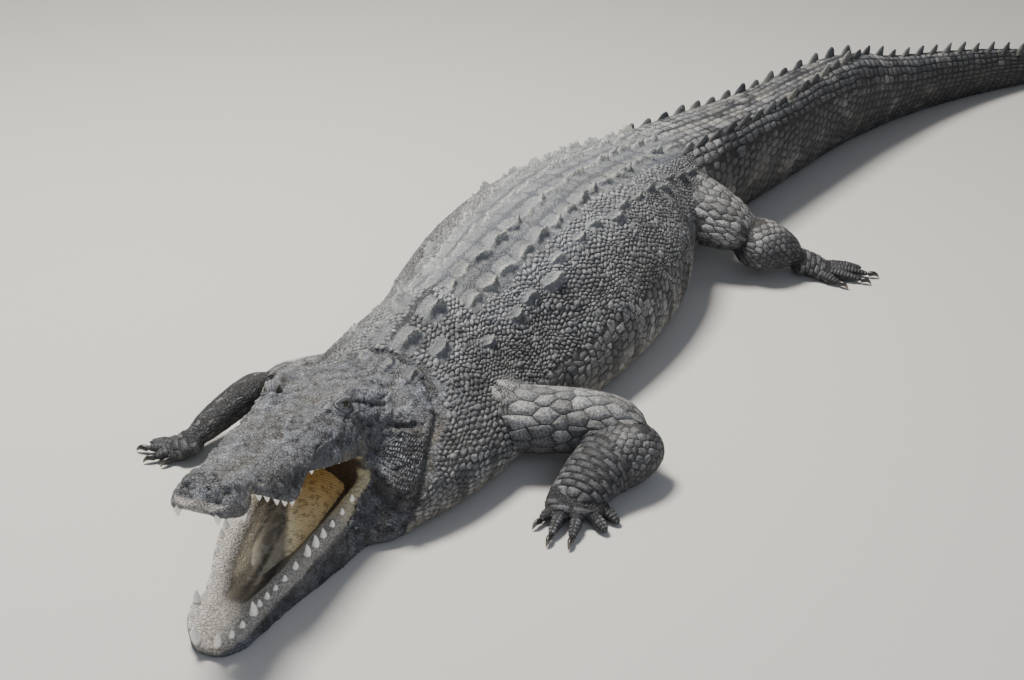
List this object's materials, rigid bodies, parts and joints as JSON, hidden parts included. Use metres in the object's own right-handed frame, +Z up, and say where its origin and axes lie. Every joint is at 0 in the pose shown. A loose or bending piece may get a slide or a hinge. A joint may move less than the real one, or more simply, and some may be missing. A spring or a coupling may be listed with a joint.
{
  "type": "crocodile",
  "caption": "Life-size still model of a basking crocodile lying on its belly with its mouth open, neck low and tail laid out behind.",
  "frame": {"origin": "on the flat of the belly, under the middle of the trunk, at the level that jaw, feet and tail rest on", "axes": "+Z up, -Y towards the snout, +Y towards the tail, +X towards the animal's left side"},
  "size_m": [1.1486, 3.5367, 0.3281],
  "materials": {
    "skin_top": "dry scaly skin, blue-grey to olive",
    "skin_side": "dry scaly skin, olive grey, paler below",
    "skin_limb": "dry scaly skin, charcoal",
    "mouth_lining": "moist pale yellow lining",
    "eye": "wet, glossy, olive brown",
    "claw": "dull horn"
  },
  "bodies": {
    "root": {"head": "skin_top", "lower_jaw": "skin_side", "tongue": "mouth_lining", "eye_left": "eye", "eye_right": "eye", "neck": "skin_side", "trunk": "skin_side", "tail_base": "skin_side", "tail_middle": "skin_side", "tail_rear": "skin_side", "tail_end": "skin_side", "fore_left_upper": "skin_limb", "fore_left_lower": "skin_limb", "fore_left_foot": "skin_limb", "fore_left_claw_1": "claw", "fore_left_claw_2": "claw", "fore_left_claw_3": "claw", "fore_right_upper": "skin_limb", "fore_right_lower": "skin_limb", "fore_right_foot": "skin_limb", "fore_right_claw_1": "claw", "fore_right_claw_2": "claw", "fore_right_claw_3": "claw", "hind_left_upper": "skin_limb", "hind_left_lower": "skin_limb", "hind_left_foot": "skin_limb", "hind_left_claw_1": "claw", "hind_left_claw_2": "claw", "hind_left_claw_3": "claw", "hind_right_upper": "skin_limb", "hind_right_lower": "skin_limb", "hind_right_foot": "skin_limb", "hind_right_claw_1": "claw", "hind_right_claw_2": "claw", "hind_right_claw_3": "claw"}
  },
  "joints": []
}
